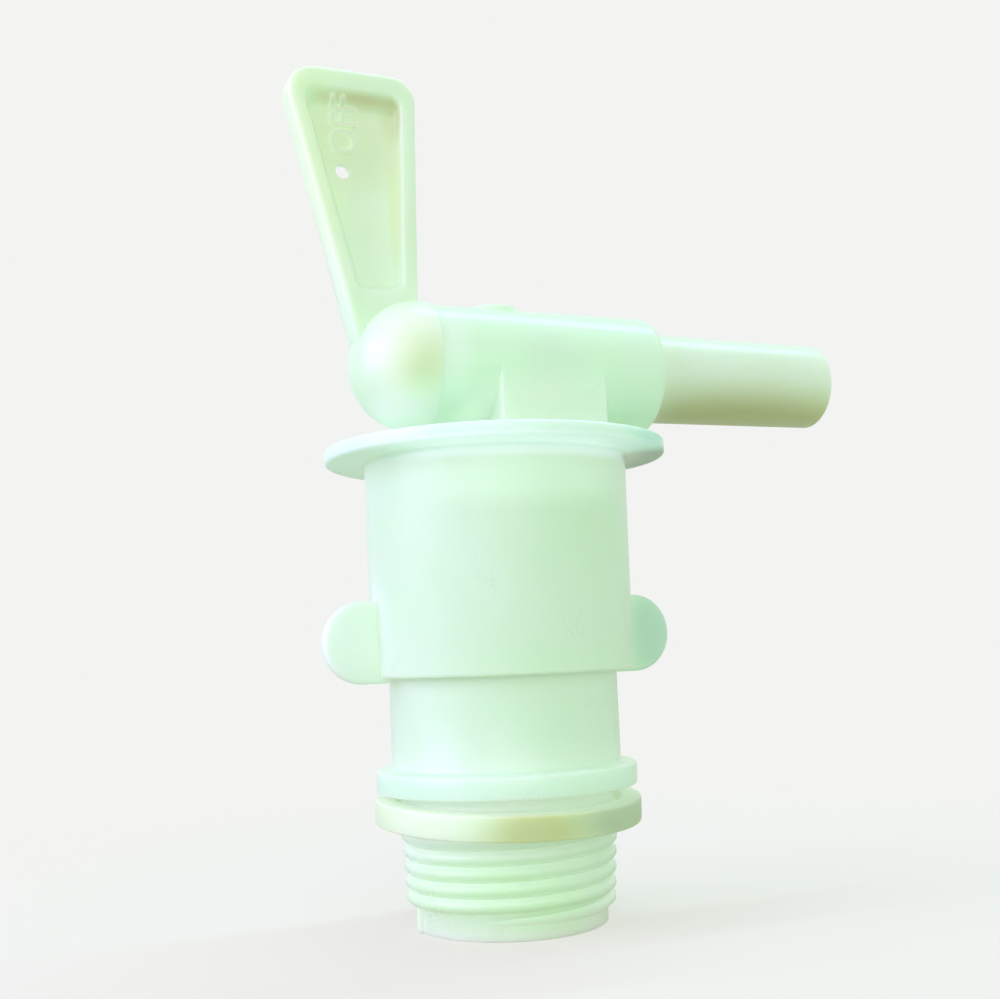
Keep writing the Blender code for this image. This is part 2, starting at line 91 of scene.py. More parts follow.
def turnRings(name, rings, steps, axis="Z", centre=Vector((0, 0, 0)), pointed=False):
    # a round solid: a filled circle, extruded and scaled from ring to ring (radius, height, rounding)
    along = Vector((1, 0, 0)) if axis == "X" else Vector((0, 0, 1))
    turn = (0, math.pi / 2, 0) if axis == "X" else (0, 0, 0)
    radius, height = rings[0][:2]
    clearSelection()
    bpy.ops.mesh.primitive_circle_add(
        vertices=steps, radius=radius, fill_type="NGON", location=centre + along * height, rotation=turn
    )
    piece = nameNew(name)
    openPiece(piece)
    bpy.ops.mesh.select_mode(type="FACE")
    bpy.ops.mesh.select_all(action="SELECT")
    for radiusNext, heightNext, rounding in rings[1:]:
        rise = along * (heightNext - height)
        bpy.ops.mesh.extrude_region_move(TRANSFORM_OT_translate={"value": rise})
        grow = radiusNext / radius
        value = (1, grow, grow) if axis == "X" else (grow, grow, 1)
        bpy.ops.transform.resize(value=value, center_override=centre + along * heightNext)
        radius, height = radiusNext, heightNext
    if pointed:
        bpy.ops.mesh.merge(type="CENTER")
    for radius, height, rounding in rings:
        if not rounding:
            continue

        def onRing(spot):
            away = spot - centre
            up = away.dot(along)
            return abs(up - height) < snug and abs((away - along * up).length - radius) < snug

        pick(piece, "EDGE", onRing)
        roundEdges(rounding)
    bpy.ops.mesh.select_all(action="SELECT")
    bpy.ops.mesh.normals_make_consistent(inside=False)
    closePiece()
    return piece


def drawOutline(name, corners):
    # one vertex drawn from corner to corner, then filled
    clearSelection()
    bpy.ops.mesh.primitive_plane_add(size=mm, location=corners[0])
    piece = nameNew(name)
    openPiece(piece)
    bpy.ops.mesh.select_mode(type="VERT")
    bpy.ops.mesh.select_all(action="SELECT")
    bpy.ops.mesh.merge(type="CENTER")
    for here, there in zip(corners, corners[1:]):
        bpy.ops.mesh.extrude_region_move(TRANSFORM_OT_translate={"value": Vector(there) - Vector(here)})
    bpy.ops.mesh.select_all(action="SELECT")
    bpy.ops.mesh.edge_face_add()
    closePiece()
    return piece


def extrudeOutline(piece, travel):
    openPiece(piece)
    bpy.ops.mesh.select_mode(type="FACE")
    bpy.ops.mesh.select_all(action="SELECT")
    bpy.ops.mesh.extrude_region_move(TRANSFORM_OT_translate={"value": travel})
    bpy.ops.mesh.select_all(action="SELECT")
    bpy.ops.mesh.normals_make_consistent(inside=False)
    closePiece()


def combine(piece, tool, operation):
    clearSelection()
    bpy.context.view_layer.objects.active = piece
    change = piece.modifiers.new(tool.name, "BOOLEAN")
    change.operation = operation
    change.solver = "EXACT"
    change.object = tool
    bpy.ops.object.modifier_apply(modifier=change.name)
    bpy.data.objects.remove(tool)


def finishPiece(piece, node, body, material):
    clearSelection()
    bpy.context.view_layer.objects.active = piece
    piece.select_set(True)
    bpy.ops.object.shade_smooth_by_angle(angle=math.radians(smoothBelow))
    piece.data.materials.clear()
    piece.data.materials.append(material)
    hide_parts(node)
    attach(piece, body)
    print(piece.name, "has", len(piece.data.polygons), "faces")


class Wire:
    # one output of a material's nodes; sums and products of wires add Math nodes

    def __init__(self, tree, socket=None):
        self.tree, self.socket = tree, socket

    def add(self, kind, settings=None, sockets=None, output=0):
        node = self.tree.nodes.new("ShaderNode" + kind)
        for name, value in (settings or {}).items():
            setattr(node, name, value)
        for name, value in (sockets or {}).items():
            if isinstance(value, Wire):
                self.tree.links.new(value.socket, node.inputs[name])
            else:
                node.inputs[name].default_value = value
        return Wire(self.tree, node.outputs[output])

    def maths(self, operation, *values):
        return self.add("Math", {"operation": operation}, dict(enumerate(values)))

    def __add__(self, other):
        return self.maths("ADD", self, other)

    def __sub__(self, other):
        return self.maths("SUBTRACT", self, other)

    def __rsub__(self, other):
        return self.maths("SUBTRACT", other, self)

    def __mul__(self, other):
        return self.maths("MULTIPLY", self, other)

    __radd__ = __add__
    __rmul__ = __mul__

    def between(self, low, high):
        # 0 below low, 1 above high and smooth between them
        return self.add(
            "MapRange", {"interpolation_type": "SMOOTHSTEP"}, {"Value": self, "From Min": low, "From Max": high}
        )

    def mix(self, first, second):
        # blends two colours by this wire
        return self.add("Mix", {"data_type": "RGBA"}, {0: self, 6: first, 7: second}, 2)


def newMaterial(name):
    material = bpy.data.materials.new(name)
    material.use_nodes = True
    tree = material.node_tree
    shader = tree.nodes["Principled BSDF"]
    start = Wire(tree)
    return material, shader, start


def feed(shader, name, wire):
    wire.tree.links.new(wire.socket, shader.inputs[name])


cameraPlace = {
    "place": Vector((-63.787, -148.677, 33.594)) * mm,
    "yaw": -0.4085,
    "pitch": 0.1148,
    "roll": 0.0404,
    "lens": 45.83,
    "sensor": 36,
    "clipStart": 10 * mm,
    "clipEnd": 20,
}


def addCamera(put):
    camera = bpy.data.objects.new("photoCamera", bpy.data.cameras.new("photoCamera"))
    bpy.context.scene.collection.objects.link(camera)
    camera.data.lens = put["lens"]
    camera.data.sensor_width = put["sensor"]
    camera.data.clip_start = put["clipStart"]
    camera.data.clip_end = put["clipEnd"]
    turn = Matrix.Rotation(put["yaw"], 4, "Z") @ Matrix.Rotation(put["pitch"], 4, "X")
    turn = turn @ Matrix.Rotation(put["roll"], 4, "Y") @ Matrix.Rotation(math.pi / 2, 4, "X")
    camera.matrix_world = Matrix.Translation(put["place"]) @ turn
    bpy.context.scene.camera = camera


bodyShape = {
    "steps": 160,
    "axisHeight": 69.01 * mm,
    "wall": 2.0 * mm,
    "pilotRadius": 11.79 * mm,
    "boreRadius": 9.7 * mm,
    "threadStart": 2.3 * mm,
    "threadRoot": 3.2 * mm,
    "crestLow": 12.84 * mm,
    "crestHigh": 13.66 * mm,
    "threadDepth": 0.66 * mm,
    "flangeLow": 16.29 * mm,
    "flangeLowTop": 18.99 * mm,
    "flangeLowRadius": 16.17 * mm,
    "waistRadius": 14.27 * mm,
    "drumLow": 30.28 * mm,
    "drumLowRadius": 16.42 * mm,
    "drumTop": 56.99 * mm,
    "drumTopRadius": 16.67 * mm,
    "neckTop": 58.8 * mm,
    "upperFlangeRadius": 21.65 * mm,
    "lid": 2.0 * mm,
    "barrelRadius": 7.9 * mm,
    "barrelStart": -9.42 * mm,
    "barrelEnd": 21.9 * mm,
    "barrelSteps": 128,
    "barrelNearRounding": 0.1 * mm,
    "barrelFarRounding": 1.0 * mm,
    "roundings": (0.15 * mm, 0.3 * mm, 0.4 * mm, 0.5 * mm),  # of the neck's edges, from crisp to broad
}


def threadRadius(height, low, high):
    share = (height - bodyShape["threadStart"]) / (bodyShape["flangeLow"] - bodyShape["threadStart"])
    return low + (high - low) * max(share, 0)


def neckRings(put):
    waistBore = put["waistRadius"] - put["wall"]
    drumBoreLow = put["drumLowRadius"] - put["wall"]
    drumBoreTop = put["drumTopRadius"] - put["wall"]
    crestRoot = threadRadius(put["threadRoot"], put["crestLow"], put["crestHigh"])
    coreHigh = put["crestHigh"] - put["threadDepth"]
    crisp, soft, easy, broad = put["roundings"]
    inside = [
        (drumBoreTop, put["neckTop"] - put["lid"], broad),
        (drumBoreLow, put["drumLow"] + drumBoreLow - waistBore, 0),
        (waistBore, put["drumLow"], 0),
        (waistBore, put["flangeLow"] + waistBore - put["boreRadius"], 0),
        (put["boreRadius"], put["flangeLow"], 0),
        (put["boreRadius"], 0, crisp),
    ]
    outside = [
        (put["pilotRadius"], 0, crisp),
        (put["pilotRadius"], put["threadStart"], 0),
        (crestRoot - put["threadDepth"], put["threadRoot"], 0),
        (coreHigh, put["flangeLow"], 0),
        (put["flangeLowRadius"], put["flangeLow"], soft),
        (put["flangeLowRadius"], put["flangeLowTop"], soft),
        (put["waistRadius"], put["flangeLowTop"], broad),
        (put["waistRadius"], put["drumLow"], broad),
        (put["drumLowRadius"], put["drumLow"], easy),
        (put["drumTopRadius"], put["drumTop"], broad),
        (put["upperFlangeRadius"], put["drumTop"], easy),
        (put["upperFlangeRadius"], put["neckTop"], easy),
        (put["barrelRadius"], put["neckTop"], 0),
    ]
    return inside + outside


threadShape = {
    "pitch": 1.814 * mm,
    "firstCrest": 2.75 * mm,
    "lastCrest": 15.1 * mm,
    "firstAngle": math.radians(-28),
    "leadIn": math.radians(117),
    "leadOut": math.radians(60),
    "stepsPerTurn": 72,
    "stepReach": 0.1 * mm,  # how far from its own plane a wound outline is looked for
    "sink": 0.3 * mm,
    # half the lobe's outline: how far below the crest, and how far to its side
    "lobe": [(0, 0.12), (0.03, 0.27), (0.13, 0.43), (0.33, 0.6), (0.56, 0.8), (1.0, 0.885)],
}


def windThread(put, body):
    # the lobe's outline wound up by a Screw modifier, tapered, and its two ends sunk into the core
    rise = put["lastCrest"] - put["firstCrest"]
    turns = rise / put["pitch"] + put["leadIn"] / fullTurn
    low = put["firstCrest"] - put["pitch"] * put["leadIn"] / fullTurn
    crest = threadRadius(low, body["crestLow"], body["crestHigh"])
    half = [(crest - drop * mm, side * mm) for drop, side in put["lobe"]]
    outline = [(r, low - side) for r, side in half[::-1]] + [(r, low + side) for r, side in half]
    ridge = drawOutline("threadRidge", [(r, 0, z) for r, z in outline])
    openPiece(ridge)
    bpy.ops.mesh.select_all(action="SELECT")
    bpy.ops.mesh.delete(type="ONLY_FACE")
    closePiece()
    steps = round(turns * put["stepsPerTurn"])
    screw = ridge.modifiers.new("wind", "SCREW")
    screw.axis = "Z"
    screw.angle = turns * fullTurn
    screw.screw_offset = turns * put["pitch"]
    screw.steps = screw.render_steps = steps
    screw.use_smooth_shade = False
    bpy.ops.object.modifier_apply(modifier=screw.name)
    start = put["firstAngle"] - put["leadIn"]
    openPiece(ridge)
    bpy.ops.mesh.select_all(action="SELECT")
    bpy.ops.mesh.fill_holes(sides=0)
    bpy.ops.mesh.select_all(action="SELECT")
    bpy.ops.transform.rotate(value=-start, orient_axis="Z", center_override=(0, 0, 0))
    for step in range(steps + 1):
        wound = fullTurn * turns * step / steps
        middle = low + put["pitch"] * wound / fullTurn
        angle = start + wound
        radius = threadRadius(middle, body["crestLow"], body["crestHigh"])
        shown = min(1, wound / put["leadIn"], (fullTurn * turns - wound) / put["leadOut"])
        sunk = threadRadius(middle, body["pilotRadius"], body["crestHigh"] - body["threadDepth"])
        wanted = sunk - put["sink"] / 2 + (radius - sunk + put["sink"] / 2) * shown
        ahead = Vector((math.cos(angle), math.sin(angle), 0))
        across = Vector((-ahead.y, ahead.x, 0))

        def onStep(spot):
            level = abs(spot.z - middle) < put["pitch"] / 2
            return level and abs(spot.dot(across)) < put["stepReach"] and spot.dot(ahead) > 0

        pick(ridge, "VERT", onStep)
        grow = wanted / crest
        bpy.ops.transform.resize(value=(grow, grow, 1), center_override=(0, 0, middle))
    bpy.ops.mesh.select_all(action="SELECT")
    bpy.ops.mesh.normals_make_consistent(inside=False)
    closePiece()
    return ridge


def addBlock(name, low, high):
    clearSelection()
    low, high = Vector(low), Vector(high)
    bpy.ops.mesh.primitive_cube_add(size=1, location=(low + high) / 2)
    bpy.context.object.scale = high - low
    return nameNew(name)


earShape = {
    "radius": 5.0 * mm,
    "reach": 23.53 * mm,
    "shift": 0.27 * mm,
    "height": 34.7 * mm,
    "thickness": 2.0 * mm,
    "sink": 15.42 * mm,
    "rounding": 0.5 * mm,
    "tipRounding": 4.99 * mm,
    "tipSteps": 20,
    "middleSteps": 96,
}


def addEars(put):
    # one block right through the neck, its four tip edges rounded, then its middle taken out
    left, right = put["shift"] - put["reach"], put["shift"] + put["reach"]
    low, high = put["height"] - put["radius"], put["height"] + put["radius"]
    half = put["thickness"] / 2
    ears = addBlock("ears", (left, -half, low), (right, half, high))
    openPiece(ears)
    for tip in (left, right):
        for level in (low, high):
            pick(ears, "EDGE", lambda spot: max(abs(spot.x - tip), abs(spot.z - level)) < closeTo)
            roundEdges(put["tipRounding"], put["tipSteps"])
    for face in (-half, half):
        pick(ears, "EDGE", lambda spot: abs(spot.y - face) < closeTo)
        roundEdges(put["rounding"])
    closePiece()
    clearSelection()
    bpy.ops.mesh.primitive_cylinder_add(
        vertices=put["middleSteps"], radius=put["sink"], depth=3 * put["radius"], location=(0, 0, put["height"])
    )
    combine(ears, nameNew("earMiddle"), "DIFFERENCE")
    return ears


pedestalShape = {
    "centre": 5.35 * mm,
    "length": 14.7 * mm,
    "depth": 15.78 * mm,
    "sink": 0.8 * mm,
    "corner": 0.5 * mm,
}

bossShape = {
    "centre": 0.5 * mm,
    "radius": 3.1 * mm,
    "height": 0.65 * mm,
    "edge": 0.2 * mm,
    "sink": 0.9 * mm,
    "rounding": 0.12 * mm,
    "steps": 64,
    "domeRings": 8,
}

ribShape = {
    "width": 0.8 * mm,
    "reach": 0.6 * mm,
    "sink": 0.8 * mm,
    "height": 3.05 * mm,
    "rounding": 0.22 * mm,
}


def addPedestal(put, body):
    x, half, deep = put["centre"], put["length"] / 2, put["depth"] / 2
    low = body["neckTop"] - put["sink"]
    block = addBlock("pedestal", (x - half, -deep, low), (x + half, deep, body["axisHeight"]))
    openPiece(block)
    for sideX in (-half, half):
        for sideY in (-deep, deep):
            pick(block, "EDGE", lambda spot: (spot - Vector((x + sideX, sideY, spot.z))).length < closeTo)
            roundEdges(put["corner"])
    closePiece()
    return block


def addBoss(put, body):
    top = body["axisHeight"] + body["barrelRadius"]
    crown = put["height"] - put["edge"]
    dome = (put["radius"] ** 2 + crown**2) / (2 * crown)
    spread = math.asin(put["radius"] / dome)
    rings = [(put["radius"], top - put["sink"], 0), (put["radius"], top + put["edge"], put["rounding"])]
    for step in range(1, put["domeRings"]):
        angle = spread * (1 - step / put["domeRings"])
        rings.append((dome * math.sin(angle), top + put["height"] - dome * (1 - math.cos(angle)), 0))
    return turnRings("boss", rings, put["steps"], centre=Vector((put["centre"], 0, 0)))


plugShape = {
    "headEnd": -9.5 * mm,
    "radiusHead": 6.35 * mm,
    "radiusFar": 6.05 * mm,
    "gap": 0.3 * mm,
    "bead": 17.2 * mm,
    "beadHeight": 0.5 * mm,
    "beadFlat": 0.6 * mm,
    "beadSlope": 0.5 * mm,
    "inletPort": 3.9 * mm,
    "keyPort": 3.6 * mm,
    "boreSteps": 96,
    "portSteps": 64,
    "portReach": 1 * mm,  # how far the key's port cutter starts outside the plug
    "cutReach": 2 * mm,  # how far each cutter runs past what it cuts
}


def plugRadius(x):
    share = (x - plugShape["headEnd"]) / (bodyShape["barrelEnd"] - plugShape["headEnd"])
    return plugShape["radiusHead"] + (plugShape["radiusFar"] - plugShape["radiusHead"]) * share


def beadRings(put, growth):
    # from the head towards the spout: the plug's side with its snap bead
    low, high = put["bead"] - put["beadFlat"] / 2, put["bead"] + put["beadFlat"] / 2
    top = plugRadius(put["bead"]) + put["beadHeight"] + growth
    foot = put["beadSlope"] + growth
    return [
        (plugRadius(low - foot) + growth, low - foot, 0),
        (top, low - growth / 2, 0),
        (top, high + growth / 2, 0),
        (plugRadius(high + foot) + growth, high + foot, 0),
    ]


def makeBody(material):
    put, axis = bodyShape, Vector((0, 0, bodyShape["axisHeight"]))
    body = turnRings("tapBody", neckRings(put), put["steps"])
    combine(body, addEars(earShape), "UNION")
    for side in (-1, 1):
        inner, outer = put["pilotRadius"] - ribShape["sink"], put["pilotRadius"] + ribShape["reach"]
        half = ribShape["width"] / 2
        lowX, highX = sorted((side * inner, side * outer))
        rib = addBlock("rib", (lowX, -half, 0), (highX, half, ribShape["height"]))
        openPiece(rib)
        pick(rib, "EDGE", lambda spot: abs(spot.x - side * outer) < closeTo)
        roundEdges(ribShape["rounding"], 3)
        closePiece()
        combine(body, rib, "UNION")
    combine(body, addPedestal(pedestalShape, put), "UNION")
    barrel = [
        (put["barrelRadius"], put["barrelStart"], put["barrelNearRounding"]),
        (put["barrelRadius"], put["barrelEnd"], put["barrelFarRounding"]),
    ]
    combine(body, turnRings("barrel", barrel, put["barrelSteps"], "X", axis), "UNION")
    combine(body, addBoss(bossShape, put), "UNION")
    reach, growth = plugShape["cutReach"], plugShape["gap"]
    start, end = put["barrelStart"] - reach, put["barrelEnd"] + reach
    bore = [
        (plugRadius(start) + growth, start, 0),
        *beadRings(plugShape, growth),
        (plugRadius(end) + growth, end, 0),
    ]
    combine(body, turnRings("bore", bore, plugShape["boreSteps"], "X", axis), "DIFFERENCE")
    low = put["neckTop"] - put["lid"] - reach
    port = [(plugShape["inletPort"], low, 0), (plugShape["inletPort"], put["axisHeight"], 0)]
    port = turnRings("port", port, plugShape["portSteps"], centre=Vector((pedestalShape["centre"], 0, 0)))
    combine(body, port, "DIFFERENCE")
    combine(body, windThread(threadShape, put), "UNION")
    print("thread is wound")
    finishPiece(body, "tap_body", "body", material)


keyShape = {
    "headRadius": 8.25 * mm,
    "headCentre": -10.6 * mm,
    "headRounding": 0.14 * mm,
    "spoutEnd": 49.65 * mm,
    "spoutRadiusNear": 6.0 * mm,
    "spoutRadiusTip": 5.85 * mm,
    "tipBore": 4.7 * mm,
    "blindBore": 4.4 * mm,
    "blindEnd": -12.6 * mm,
    "tipRounding": 0.3 * mm,
    "steps": 128,
    "boreSteps": 96,
    "headRings": 36,
    "blindRings": 8,
    "pole": 0.02 * mm,  # the last ring before the head's pole is merged
}

leverShape = {
    "length": 37.3 * mm,
    "thickness": 4.2 * mm,
    "backAxis": -17.8 * mm,
    "backTop": -27.4 * mm,
    "frontAxis": -10.37 * mm,
    "frontTop": -9.75 * mm,
    "backCorner": 4.4 * mm,
    "frontCorner": 4.6 * mm,
    "cornerSteps": 14,
    "rounding": 0.7 * mm,
    "roundingSteps": 5,
}

panelShape = {
    "rimBack": 1.7 * mm,
    "rimFront": 1.75 * mm,
    "rimTop": 2.3 * mm,
    "bottom": 8.7 * mm,
    "corner": 2.6 * mm,
    "foot": 2.7 * mm,
    "depth": 1.5 * mm,
    # inward and deeper, step by step, from the mouth's soft edge down the slope to the floor
    "steps": [
        (0.14, 0.03), (0.12, 0.09), (0.12, 0.2), (0.4, 0.8),
        (0.12, 0.2), (0.12, 0.09), (0.14, 0.05), (0.12, 0.04),
    ],
    "topRun": 1.3 * mm,  # how much further the slope under the top edge runs out
    "holeHeight": 24.48 * mm,
    "holeInset": 4.84 * mm,
    "holeRadius": 0.98 * mm,
    "holeDepth": 8 * mm,  # of the cutter, which runs right through the lever
    "holeSteps": 40,
    "cornerSteps": 8,
    "clear": 1.0 * mm,  # how far the cutter starts in front of the lever's face
}


def leverBack(height):
    lean = (leverShape["backTop"] - leverShape["backAxis"]) / leverShape["length"]
    return leverShape["backAxis"] + lean * height


def leverFront(height):
    lean = (leverShape["frontTop"] - leverShape["frontAxis"]) / leverShape["length"]
    return leverShape["frontAxis"] + lean * height


def cornerWidth(radius, corner, before, after):
    # how far a rounding of this radius reaches along the edges that meet at a corner
    half = (Vector(before) - Vector(corner)).angle(Vector(after) - Vector(corner)) / 2
    return radius / math.tan(half)


def addPlate(name, outline, radii, near, travel, steps):
    # a flat outline given thickness along Y, with each of its corners rounded
    corners = [Vector((x, near, z)) for x, z in outline]
    plate = drawOutline(name, corners)
    extrudeOutline(plate, Vector((0, travel, 0)))
    openPiece(plate)
    for index, (corner, radius) in enumerate(zip(corners, radii)):
        if not radius:
            continue
        width = cornerWidth(radius, corner, corners[index - 1], corners[(index + 1) % len(corners)])
        pick(plate, "EDGE", lambda spot: math.hypot(spot.x - corner.x, spot.z - corner.z) < closeTo)
        bpy.ops.mesh.bevel(offset=width, segments=steps, affect="EDGES", offset_type="WIDTH")
    closePiece()
    return plate


def addLever(put, axisHeight):
    half = put["thickness"] / 2
    top = axisHeight + put["length"]
    outline = [
        (put["frontAxis"], axisHeight),
        (put["frontTop"], top),
        (put["backTop"], top),
        (put["backAxis"], axisHeight),
    ]
    radii = (0, put["frontCorner"], put["backCorner"], 0)
    lever = addPlate("lever", outline, radii, -half, 2 * half, put["cornerSteps"])
    openPiece(lever)
    for face in (-half, half):
        pick(lever, "EDGE", lambda spot: abs(spot.y - face) < closeTo)
        roundEdges(put["rounding"], put["roundingSteps"])
    closePiece()
    return lever


def addPanel(put, axisHeight, side):
    low, high = put["bottom"], leverShape["length"] - put["rimTop"]
    outline = [
        (leverFront(low) - put["rimFront"], axisHeight + low),
        (leverFront(high) - put["rimFront"], axisHeight + high),
        (leverBack(high) + put["rimBack"], axisHeight + high),
        (leverBack(low) + put["rimBack"], axisHeight + low),
    ]
    radii = (put["foot"], put["corner"], put["corner"], put["foot"])
    face = side * leverShape["thickness"] / 2
    clear = side * put["clear"]
    panel = addPlate("panel", outline, radii, face + clear, -clear, put["cornerSteps"])
    openPiece(panel)
    pick(panel, "FACE", lambda spot: abs(spot.y - face) < closeTo)
    depth, middle = 0, axisHeight + (low + high) / 2
    for inward, deeper in put["steps"]:
        bpy.ops.mesh.inset(thickness=inward * mm, depth=deeper * mm)
        depth += deeper * mm
        level = face - side * depth
        pick(panel, "VERT", lambda spot: abs(spot.y - level) < fine and spot.z > middle)
        bpy.ops.transform.translate(value=(0, 0, -put["topRun"] * deeper * mm / put["depth"]))
        pick(panel, "FACE", lambda spot: abs(spot.y - level) < fine)
    closePiece()
    return panel


letterShape = {
    "words": "OFF",
    "tops": -20.9 * mm,
    "feet": -17.5 * mm,
    "low": 95.6 * mm,
    "high": 102.9 * mm,
    "deep": -0.3 * mm,
    "out": -2.4 * mm,
    "raise": 0.36 * mm,
    "bolder": 0.01,
}


def addLetters(put):
    # capitals that read upwards, with their tops towards the lever's back, as deep blocks
    clearSelection()
    bpy.ops.object.text_add()
    text = bpy.context.object
    text.data.body = put["words"]
    text.data.extrude = 0.5
    text.data.offset = put["bolder"]
    bpy.ops.object.convert(target="MESH")
    letters = nameNew("letters")
    spots = [vert.co for vert in letters.data.vertices]
    low = Vector([min(spot[axis] for spot in spots) for axis in range(3)])
    size = Vector([max(spot[axis] for spot in spots) for axis in range(3)]) - low
    wanted = (put["high"] - put["low"], put["feet"] - put["tops"], put["deep"] - put["out"])
    fit = Matrix.Diagonal((wanted[0] / size.x, wanted[1] / size.y, wanted[2] / size.z, 1))
    stand = Matrix(((0, -1, 0, 0), (0, 0, -1, 0), (1, 0, 0, 0), (0, 0, 0, 1)))
    place = Matrix.Translation((put["feet"], put["deep"], put["low"]))
    letters.matrix_world = place @ stand @ fit @ Matrix.Translation(-low)
    bpy.ops.object.transform_apply(location=True, rotation=True, scale=True)
    openPiece(letters)
    bpy.ops.mesh.select_all(action="SELECT")
    bpy.ops.mesh.remove_doubles(threshold=fine)
    bpy.ops.mesh.normals_make_consistent(inside=False)
    closePiece()
    return letters


def raiseLetters(letters, panel, height):
    # what stands further out than a copy of the panel's surface is trimmed off
    openPiece(panel)
    bpy.ops.mesh.select_all(action="SELECT")
    bpy.ops.transform.translate(value=(0, -height, 0))
    closePiece()
    combine(letters, panel, "DIFFERENCE")


def makeKey(material):
    put = keyShape
    axis = Vector((0, 0, bodyShape["axisHeight"]))
    rings = [
        (put["spoutRadiusTip"], put["spoutEnd"], put["tipRounding"]),
        (put["spoutRadiusNear"], bodyShape["barrelEnd"], 0),
        *beadRings(plugShape, 0)[::-1],
        (plugShape["radiusHead"], plugShape["headEnd"], 0),
        (put["headRadius"], plugShape["headEnd"], put["headRounding"]),
    ]
    for step in range(put["headRings"]):
        angle = math.pi / 2 * step / put["headRings"]
        height = put["headCentre"] - put["headRadius"] * math.sin(angle)
        rings.append((put["headRadius"] * math.cos(angle), height, 0))
    rings.append((put["pole"], put["headCentre"] - put["headRadius"], 0))
    key = turnRings("tapKey", rings, put["steps"], "X", axis, pointed=True)
    combine(key, addLever(leverShape, axis.z), "UNION")
    for side in (-1, 1):
        combine(key, addPanel(panelShape, axis.z, side), "DIFFERENCE")
    letters, trim = addLetters(letterShape), addPanel(panelShape, axis.z, -1)
    raiseLetters(letters, trim, letterShape["raise"])
    combine(key, letters, "UNION")
    holeHeight = panelShape["holeHeight"]
    clearSelection()
    bpy.ops.mesh.primitive_cylinder_add(
        vertices=panelShape["holeSteps"],
        radius=panelShape["holeRadius"],
        depth=panelShape["holeDepth"],
        rotation=(math.pi / 2, 0, 0),
        location=(leverBack(holeHeight) + panelShape["holeInset"], 0, axis.z + holeHeight),
    )
    combine(key, nameNew("hangingHole"), "DIFFERENCE")
    inner = [(put["tipBore"], put["spoutEnd"] + plugShape["cutReach"], 0)]
    start = put["blindEnd"] + put["blindBore"]
    for step in range(put["blindRings"]):
        angle = math.pi / 2 * step / put["blindRings"]
        inner.append((put["blindBore"] * math.cos(angle), start - put["blindBore"] * math.sin(angle), 0))
    combine(key, turnRings("spoutBore", inner, put["boreSteps"], "X", axis), "DIFFERENCE")
    clearSelection()
    depth = plugShape["radiusHead"] + plugShape["portReach"]
    bpy.ops.mesh.primitive_cylinder_add(
        vertices=plugShape["portSteps"],
        radius=plugShape["keyPort"],
        depth=depth,
        rotation=(math.pi / 2, 0, 0),
        location=(pedestalShape["centre"], -depth / 2, axis.z),
    )
    combine(key, nameNew("keyPort"), "DIFFERENCE")
    finishPiece(key, "tap_key", "key", material)


washerShape = {
    "radius": 16.5 * mm,
    "bore": 14.16 * mm,
    "thickness": 3.0 * mm,
    "rounding": 0.3 * mm,
    "tilt": math.radians(2.6),
    "roll": math.radians(0.66),
    "seatGap": 0.2 * mm,
    "steps": 160,
    "holeSteps": 128,
}


def makeWasher(material):
    put = washerShape
    half = put["thickness"] / 2
    ring = [(put["radius"], -half, put["rounding"]), (put["radius"], half, put["rounding"])]
    washer = turnRings("sealingWasher", ring, put["steps"])
    hole = turnRings("washerHole", [(put["bore"], -2 * half, 0), (put["bore"], 2 * half, 0)], put["holeSteps"])
    combine(washer, hole, "DIFFERENCE")
    lean = math.acos(math.cos(put["tilt"]) * math.cos(put["roll"]))
    drop = half * math.cos(lean) + put["radius"] * math.sin(lean)
    washer.location = (0, 0, bodyShape["flangeLow"] - put["seatGap"] - drop)
    washer.rotation_euler = (put["tilt"], put["roll"], 0)
    clearSelection()
    bpy.context.view_layer.objects.active = washer
    washer.select_set(True)
    bpy.ops.object.transform_apply(location=True, rotation=True, scale=True)
    finishPiece(washer, "sealing_washer", "body", material)


plasticLook = {
    "scatter": 0.6,
    "scatterDepth": 2.5 * mm,
    "hollowReach": 4 * mm,
    "hollowShare": 1.2,
    "glow": 0.3,  # painted glow: emission put into the plastic's own grooves and through its thin flange, in place of light that the plastic carries there
    "glowShare": 0.5,
    "hollowSamples": 8,
    "cloudScale": 70,
    "cloudDetail": 3,
    "cloudFrom": 0.3,
    "cloudTo": 0.7,
    "grainScale": 4200,
    "grainDetail": 2,
    "grainSharp": 0.6,
    "grainDepth": 0.02 * mm,
    "grainRough": 0.04,  # how much the grain and the clouds change the roughness
    "cloudRough": 0.06,
    "refraction": 1.5,
}
